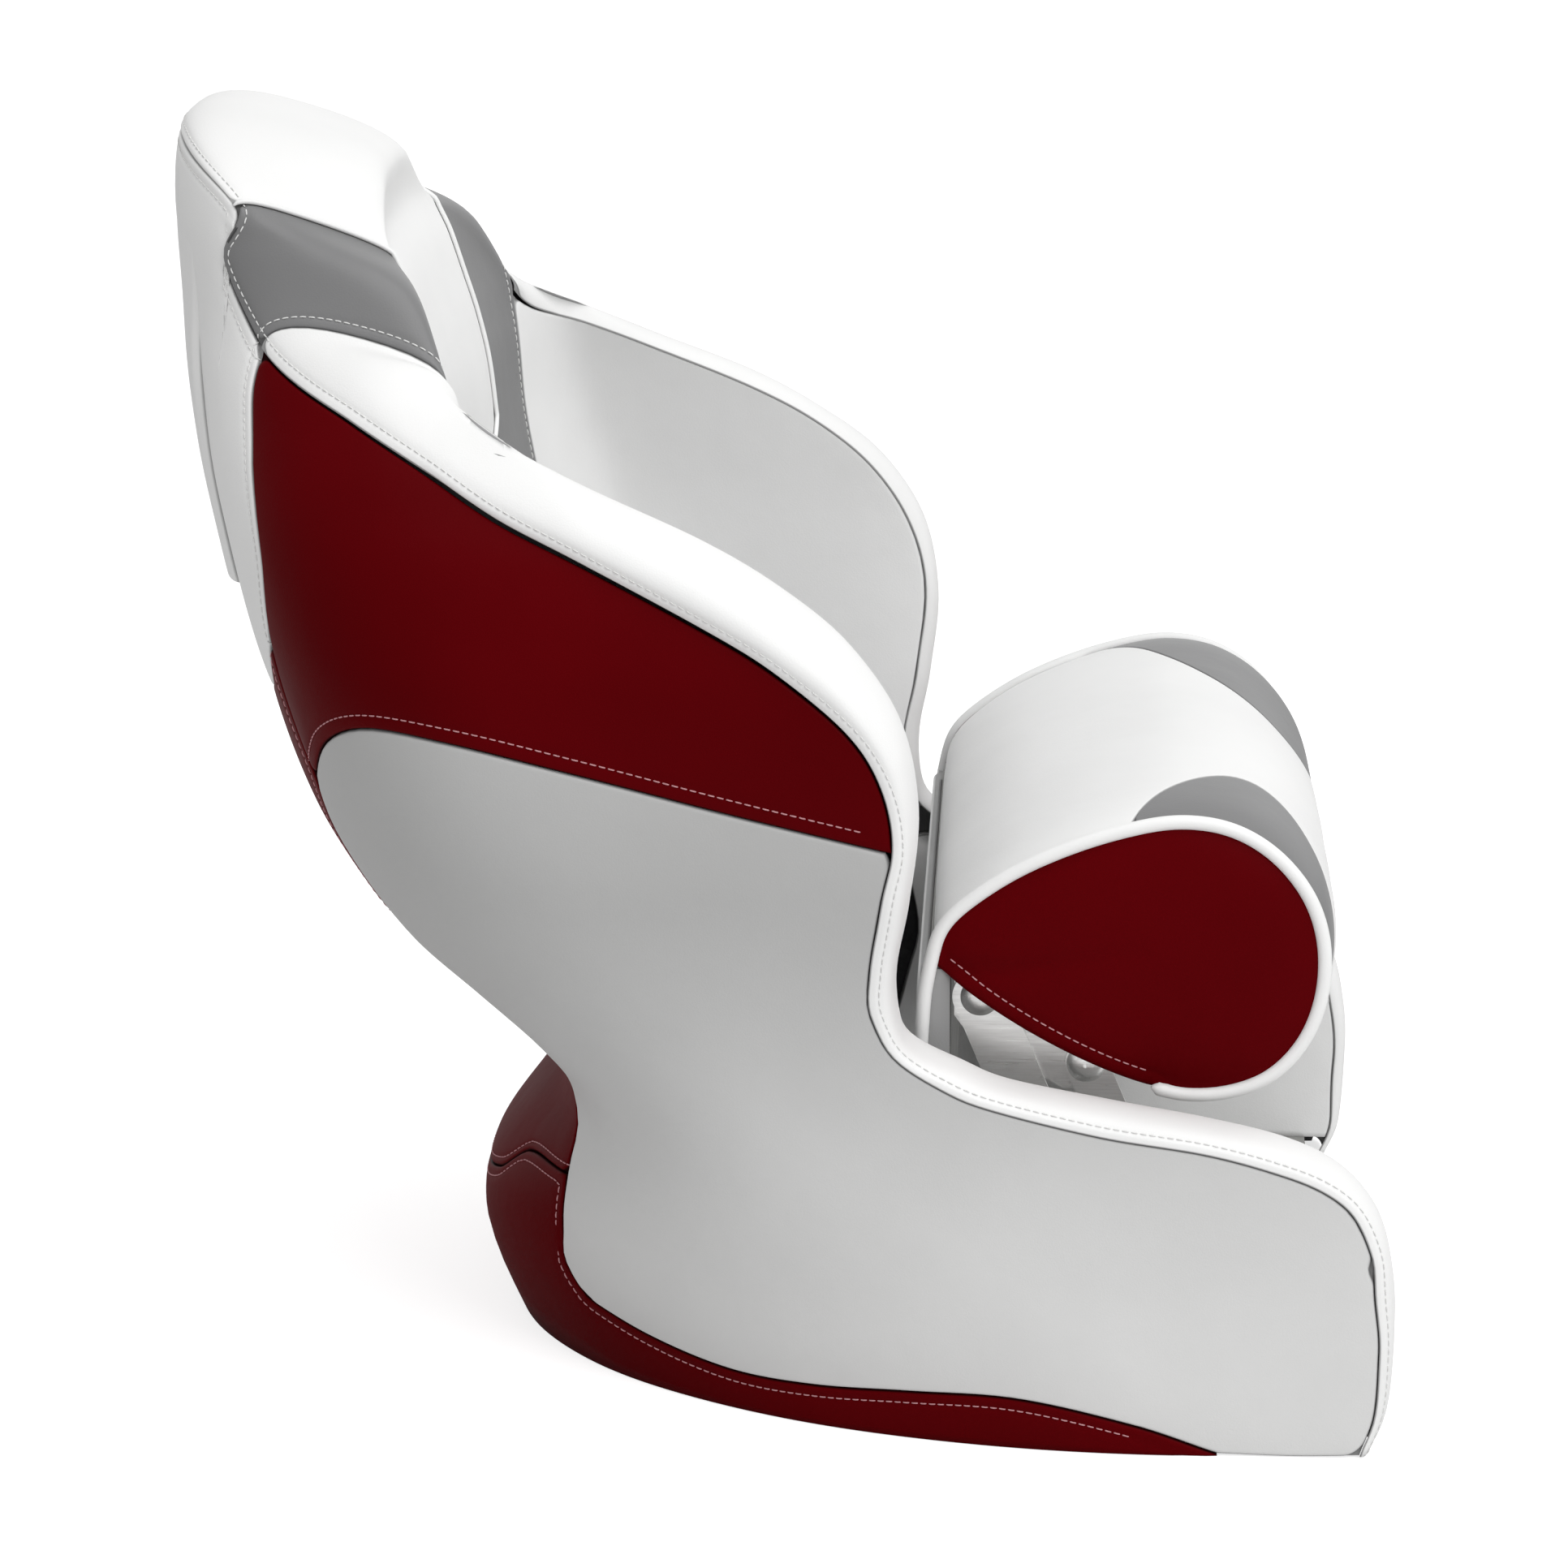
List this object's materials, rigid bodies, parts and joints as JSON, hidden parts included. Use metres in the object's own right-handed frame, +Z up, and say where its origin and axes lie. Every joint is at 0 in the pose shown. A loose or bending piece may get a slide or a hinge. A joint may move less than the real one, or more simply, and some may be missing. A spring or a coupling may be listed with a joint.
{
  "type": "bucket helm seat with flip-up bolster",
  "caption": "Padded bucket seat with wrap-round wings, a headrest and a front bolster that flips forward on a strap linkage, on a flat base board with threaded inserts.",
  "frame": {"origin": "centre of the four mounting bolts on the flat underside of the base board", "axes": "+Z up, -Y to the front of the seat, +X to the occupant's left"},
  "size_m": [0.6262, 0.7092, 0.7165],
  "materials": {
    "white_vinyl": "satin, fine grain",
    "grey_vinyl": "satin, fine grain",
    "red_vinyl": "satin, fine grain",
    "shell": "moulded",
    "board": "sealed plywood",
    "steel": "brushed"
  },
  "bodies": {
    "seat": {"base_board": "board", "threaded_inserts": "steel", "seat_pan": "shell", "back_shell": "shell", "right_side_shell": "shell", "left_side_shell": "shell", "rear_shell": "shell", "rear_skirt": "red_vinyl", "lower_rear_panel": "red_vinyl", "lower_back_panel": "red_vinyl", "rear_back_panel": "white_vinyl", "rear_back_pad": "white_vinyl", "right_red_side_panel": "red_vinyl", "left_red_side_panel": "red_vinyl", "right_lower_side_panel": "white_vinyl", "left_lower_side_panel": "white_vinyl", "right_rim_band": "white_vinyl", "left_rim_band": "white_vinyl", "right_side_lining": "white_vinyl", "left_side_lining": "white_vinyl", "right_wing_pad": "white_vinyl", "left_wing_pad": "white_vinyl", "right_grey_panel": "grey_vinyl", "left_grey_panel": "grey_vinyl", "headrest": "white_vinyl", "back_cushion": "grey_vinyl", "seat_cushion": "grey_vinyl", "right_base_bracket": "steel", "left_base_bracket": "steel", "bracket_screws": "steel", "pivot_bolts": "steel"},
    "bolster": {"bolster_cushion": "white_vinyl", "bolster_rear_pad": "white_vinyl", "bolster_rear_board": "board", "bolster_lower_board": "board", "right_bolster_end": "red_vinyl", "left_bolster_end": "red_vinyl", "right_bolster_piping": "white_vinyl", "left_bolster_piping": "white_vinyl", "right_bolster_bracket": "steel", "left_bolster_bracket": "steel", "right_rear_strap": "steel", "left_rear_strap": "steel", "right_front_strap": "steel", "left_front_strap": "steel", "right_hub_plate": "steel", "left_hub_plate": "steel", "strap_rivets": "steel", "bolster_screws": "steel"}
  },
  "joints": [
    {"name": "bolster_flip", "type": "hinge", "parent": "seat", "child": "bolster", "pos_m": [0, -0.04, 0.156], "axis": [1, 0, 0], "range_deg": [0, 78]}
  ]
}
